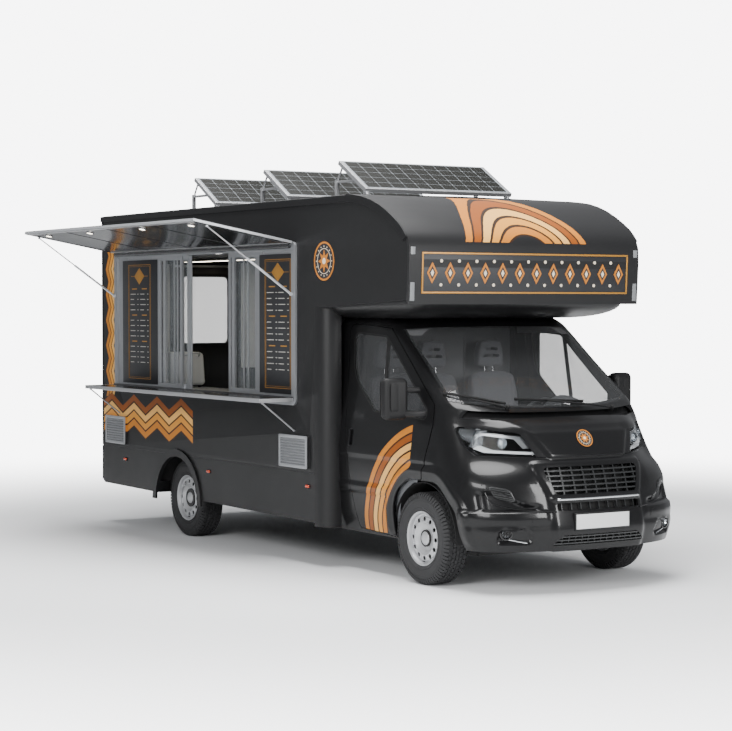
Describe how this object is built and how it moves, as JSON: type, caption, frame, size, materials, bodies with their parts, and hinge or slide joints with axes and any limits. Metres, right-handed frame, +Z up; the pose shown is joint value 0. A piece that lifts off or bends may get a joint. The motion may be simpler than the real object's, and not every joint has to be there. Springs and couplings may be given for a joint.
{
  "type": "food truck",
  "caption": "Catering truck: box kitchen with cab alcove, side hatch under a lifting awning, folding counter, tilted roof solar panels, on a front-drive van cab.",
  "frame": {"origin": "middle of the bounding box, with the awning and counter open, on the ground", "axes": "+X forwards, +Y to the driver's (left) side, +Z up"},
  "size_m": [6.745, 3.4556, 3.4827],
  "materials": {
    "charcoal_body_paint": "satin",
    "black_cab_paint": "gloss",
    "black_plastic": "textured",
    "chassis_paint": "satin",
    "brushed_aluminium": "brushed",
    "silver_wheel_paint": "satin",
    "tyre_rubber": "matte",
    "cast_iron": "matte",
    "tinted_glass": "clear",
    "clear_lamp": "clear",
    "solar_frame": "satin",
    "seat_cloth": "woven",
    "cab_trim": "grained",
    "stainless_steel": "brushed",
    "grey_laminate": "matte"
  },
  "bodies": {
    "truck": {"alcove_pod": "charcoal_body_paint", "box_floor": "grey_laminate", "box_roof": "charcoal_body_paint", "box_side_left": "charcoal_body_paint", "box_side_right": "charcoal_body_paint", "cab_shell": "black_cab_paint", "chassis_frame": "chassis_paint", "dashboard": "cab_trim", "driver_seat": "seat_cloth", "engine_block": "cast_iron", "far_window": "tinted_glass", "front_axle": "cast_iron", "front_bumper": "black_cab_paint", "grille": "black_plastic", "hatch_frame": "brushed_aluminium", "headlight_left": "clear_lamp", "headlight_right": "clear_lamp", "kitchen_units": "stainless_steel", "passenger_bench": "seat_cloth", "rear_axle": "cast_iron", "rear_bumper": "charcoal_body_paint", "rear_wall": "charcoal_body_paint", "skirt_left": "charcoal_body_paint", "skirt_right": "charcoal_body_paint", "solar_panel_1": "solar_frame", "solar_panel_2": "solar_frame", "solar_panel_3": "solar_frame", "windscreen": "tinted_glass"},
    "awning": {"awning_flap": "charcoal_body_paint"},
    "strut_tube_front": {"awning_strut_tube_front": "cast_iron"},
    "strut_rod_front": {"awning_strut_rod_front": "stainless_steel"},
    "strut_tube_rear": {"awning_strut_tube_rear": "cast_iron"},
    "strut_rod_rear": {"awning_strut_rod_rear": "stainless_steel"},
    "counter": {"counter_flap": "brushed_aluminium"},
    "stay_front": {"counter_stay_front": "brushed_aluminium"},
    "stay_rear": {"counter_stay_rear": "brushed_aluminium"},
    "cab_door_right": {"door_right": "black_cab_paint", "door_glass_right": "tinted_glass", "mirror_right": "black_plastic"},
    "cab_door_left": {"door_left": "black_cab_paint", "door_glass_left": "tinted_glass", "mirror_left": "black_plastic"},
    "bonnet_lid": {"bonnet": "black_cab_paint"},
    "rear_entry": {"rear_door": "charcoal_body_paint"},
    "steered_right": {"knuckle_right": "cast_iron"},
    "steered_left": {"knuckle_left": "cast_iron"},
    "front_wheel_right": {"tyre_front_right": "tyre_rubber", "wheel_front_right": "silver_wheel_paint"},
    "front_wheel_left": {"tyre_front_left": "tyre_rubber", "wheel_front_left": "silver_wheel_paint"},
    "rear_wheel_right": {"tyre_rear_right": "tyre_rubber", "wheel_rear_right": "silver_wheel_paint"},
    "rear_wheel_left": {"tyre_rear_left": "tyre_rubber", "wheel_rear_left": "silver_wheel_paint"},
    "hand_wheel": {"steering_wheel": "black_plastic"}
  },
  "joints": [
    {"name": "steer_right", "type": "hinge", "parent": "truck", "child": "steered_right", "pos_m": [2.3625, -0.45217, 0.37], "axis": [0, 0, 1], "range_deg": [-35, 35]},
    {"name": "steer_left", "type": "hinge", "parent": "truck", "child": "steered_left", "pos_m": [2.3625, 1.30783, 0.37], "axis": [0, 0, 1], "range_deg": [-35, 35]},
    {"name": "steering_wheel_turn", "type": "hinge", "parent": "truck", "child": "hand_wheel", "pos_m": [1.97955, 0.86783, 1.25064], "axis": [-0.9073, 0, 0.4205], "range_deg": [-540, 540]},
    {"name": "front_wheel_right_spin", "type": "hinge", "parent": "steered_right", "child": "front_wheel_right", "pos_m": [2.3625, -0.47717, 0.37], "axis": [0, 1, 0], "continuous": true},
    {"name": "front_wheel_left_spin", "type": "hinge", "parent": "steered_left", "child": "front_wheel_left", "pos_m": [2.3625, 1.33283, 0.37], "axis": [0, 1, 0], "continuous": true},
    {"name": "rear_wheel_right_spin", "type": "hinge", "parent": "truck", "child": "rear_wheel_right", "pos_m": [-1.6725, -0.50717, 0.37], "axis": [0, 1, 0], "continuous": true},
    {"name": "rear_wheel_left_spin", "type": "hinge", "parent": "truck", "child": "rear_wheel_left", "pos_m": [-1.6725, 1.36283, 0.37], "axis": [0, 1, 0], "continuous": true},
    {"name": "cab_door_right_hinge", "type": "hinge", "parent": "truck", "child": "cab_door_right", "pos_m": [2.4975, -0.55717, 1.03], "axis": [0, 0, 1], "range_deg": [0, 65]},
    {"name": "cab_door_left_hinge", "type": "hinge", "parent": "truck", "child": "cab_door_left", "pos_m": [2.4975, 1.41283, 1.03], "axis": [0, 0, -1], "range_deg": [0, 65]},
    {"name": "bonnet_hinge", "type": "hinge", "parent": "truck", "child": "bonnet_lid", "pos_m": [2.7045, 0.42783, 1.322], "axis": [0, -1, 0], "range_deg": [0, 50]},
    {"name": "rear_door_hinge", "type": "hinge", "parent": "truck", "child": "rear_entry", "pos_m": [-3.3325, 0.81983, 1.8], "axis": [0, 0, -1], "range_deg": [0, 110]},
    {"name": "awning_hinge", "type": "hinge", "parent": "truck", "child": "awning", "pos_m": [2.3625, -0.77247, 2.735], "axis": [1, 0, 0], "range_deg": [0, 100]},
    {"name": "strut_tube_front_pivot", "type": "hinge", "parent": "truck", "child": "strut_tube_front", "pos_m": [0.6255, -0.77247, 2.325], "axis": [1, 0, 0], "range_deg": [0, 124.42]},
    {"name": "strut_rod_front_slide", "type": "slide", "parent": "strut_tube_front", "child": "strut_rod_front", "axis": [0, -0.8191, 0.5737], "range_m": [-0.4531, 0]},
    {"name": "strut_tube_rear_pivot", "type": "hinge", "parent": "truck", "child": "strut_tube_rear", "pos_m": [-2.9475, -0.77247, 2.325], "axis": [1, 0, 0], "range_deg": [0, 124.42]},
    {"name": "strut_rod_rear_slide", "type": "slide", "parent": "strut_tube_rear", "child": "strut_rod_rear", "axis": [0, -0.8191, 0.5737], "range_m": [-0.4531, 0]},
    {"name": "counter_hinge", "type": "hinge", "parent": "truck", "child": "counter", "pos_m": [2.3625, -0.77247, 1.425], "axis": [-1, 0, 0], "range_deg": [0, 90]},
    {"name": "stay_front_pivot", "type": "hinge", "parent": "counter", "child": "stay_front", "pos_m": [0.6275, -1.05747, 1.3877], "axis": [-1, 0, 0], "range_deg": [-37.09, 0]},
    {"name": "stay_rear_pivot", "type": "hinge", "parent": "counter", "child": "stay_rear", "pos_m": [-2.9075, -1.05747, 1.3877], "axis": [-1, 0, 0], "range_deg": [-37.09, 0]}
  ],
  "couplings": [
    {"joint": "steer_left", "follows": "steer_right", "ratio": 1},
    {"joint": "steering_wheel_turn", "follows": "steer_right", "ratio": 15.4},
    {"joint": "strut_tube_front_pivot", "follows": "awning_hinge", "ratio": 1.2441},
    {"joint": "strut_rod_front_slide", "follows": "awning_hinge", "m_per_rad": -0.25955},
    {"joint": "stay_front_pivot", "follows": "counter_hinge", "ratio": -0.41199},
    {"joint": "strut_tube_rear_pivot", "follows": "awning_hinge", "ratio": 1.2441},
    {"joint": "strut_rod_rear_slide", "follows": "awning_hinge", "m_per_rad": -0.25955},
    {"joint": "stay_rear_pivot", "follows": "counter_hinge", "ratio": -0.41199}
  ]
}
